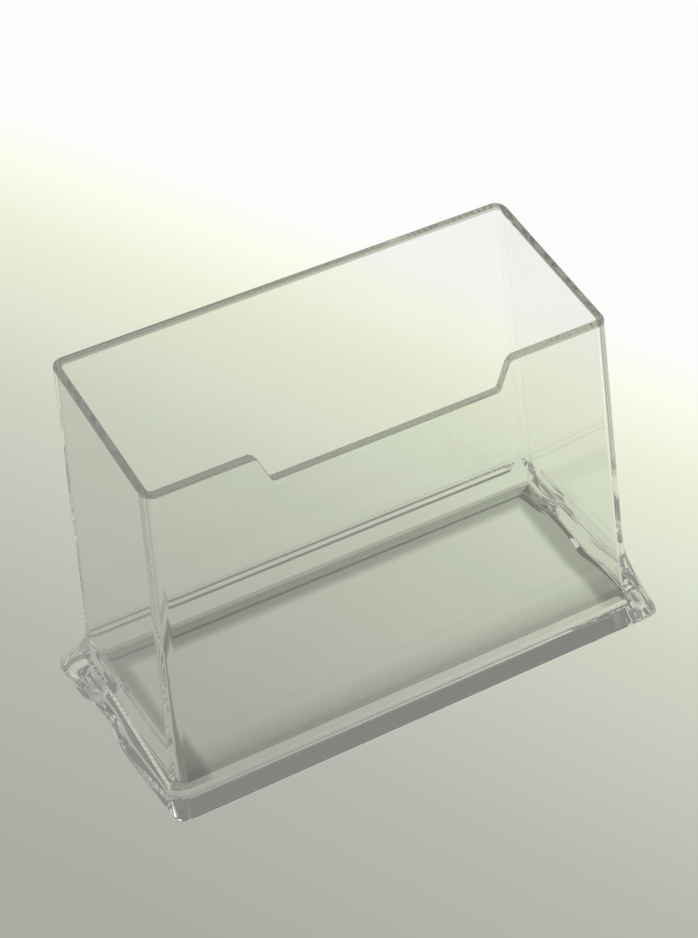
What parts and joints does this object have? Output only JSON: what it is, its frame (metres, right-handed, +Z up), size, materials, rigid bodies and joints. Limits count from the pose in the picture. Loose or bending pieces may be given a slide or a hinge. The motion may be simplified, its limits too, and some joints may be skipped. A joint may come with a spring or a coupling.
{
  "type": "acrylic card stand",
  "caption": "Clear acrylic card stand: an open pocket that leans back on broad flared feet, with a finger notch in its front rim and a floor that slopes to the front.",
  "frame": {"origin": "on the table under the centre of the stand's bounding box", "axes": "+X along the width of a card, +Y to the back, +Z up; the front with the finger notch faces -Y"},
  "size_m": [0.107, 0.0526, 0.0687],
  "materials": {
    "clear_acrylic": "clear and polished, with bright moulded edges"
  },
  "bodies": {
    "root": {"front_panel": "clear_acrylic", "back_panel": "clear_acrylic", "left_side_panel": "clear_acrylic", "right_side_panel": "clear_acrylic", "front_skirt": "clear_acrylic", "back_skirt": "clear_acrylic", "left_skirt": "clear_acrylic", "right_skirt": "clear_acrylic", "floor_plate": "clear_acrylic"}
  },
  "joints": []
}
